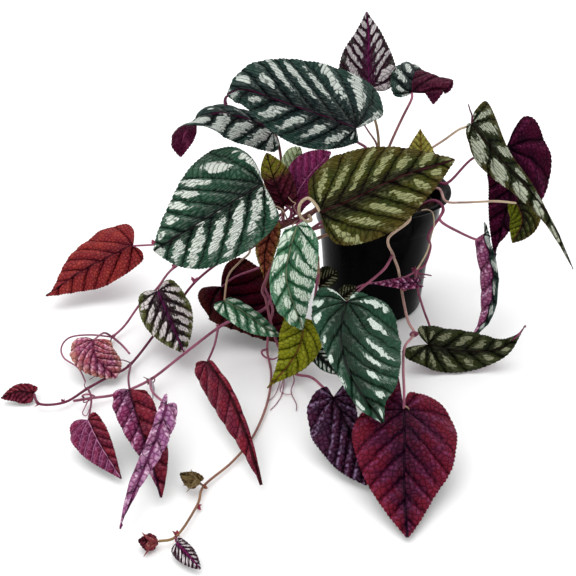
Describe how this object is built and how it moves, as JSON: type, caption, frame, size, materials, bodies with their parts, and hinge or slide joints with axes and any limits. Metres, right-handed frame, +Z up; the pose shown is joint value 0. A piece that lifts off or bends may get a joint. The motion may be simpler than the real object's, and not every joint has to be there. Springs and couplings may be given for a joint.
{
  "type": "potted trailing foliage plant",
  "caption": "Trailing foliage vine with patterned heart-shaped leaves on thin stems, growing in a round black nursery pot and spilling over its rim.",
  "frame": {"origin": "centre of the pot's flat underside, on the surface the pot stands on", "axes": "+Z up along the pot's axis; the trailing stems spread towards -X and -Y"},
  "size_m": [0.4825, 0.4082, 0.2681],
  "materials": {
    "pot": "satin",
    "soil": "matte",
    "stem": "satin",
    "leaf_silver": "satin",
    "leaf_olive": "satin",
    "leaf_young": "satin",
    "leaf_burgundy": "satin",
    "leaf_terracotta": "satin",
    "leaf_mauve": "satin",
    "leaf_lime": "satin"
  },
  "bodies": {
    "root": {"pot": "pot", "soil": "soil", "stem_crown": "stem", "stem_left": "stem", "vine_a": "stem", "vine_b": "stem", "vine_c": "stem", "vine_d": "stem", "vine_e": "stem", "vine_f": "stem", "vine_g": "stem", "vine_h": "stem", "leaf_01": "leaf_silver", "leaf_02": "leaf_young", "leaf_03": "leaf_silver", "leaf_04": "leaf_silver", "leaf_05": "leaf_silver", "leaf_06": "leaf_olive", "leaf_07": "leaf_lime", "leaf_08": "leaf_olive", "leaf_09": "leaf_burgundy", "leaf_10": "leaf_lime", "leaf_11": "leaf_mauve", "leaf_12": "leaf_olive", "leaf_13": "leaf_silver", "leaf_14": "leaf_silver", "leaf_15": "leaf_burgundy", "leaf_16": "leaf_mauve", "leaf_17": "leaf_terracotta", "leaf_18": "leaf_young", "leaf_19": "leaf_mauve", "leaf_20": "leaf_burgundy", "leaf_21": "leaf_mauve", "leaf_22": "leaf_mauve", "leaf_23": "leaf_mauve", "leaf_24": "leaf_burgundy", "leaf_25": "leaf_lime", "leaf_26": "leaf_burgundy", "leaf_27": "leaf_burgundy", "leaf_28": "leaf_lime", "leaf_29": "leaf_burgundy", "leaf_30": "leaf_silver", "leaf_31": "leaf_mauve", "leaf_32": "leaf_burgundy", "leaf_33": "leaf_lime", "leaf_34": "leaf_terracotta", "leaf_35": "leaf_olive", "leaf_36": "leaf_olive", "leaf_37": "leaf_silver", "leaf_38": "leaf_mauve"}
  },
  "joints": []
}
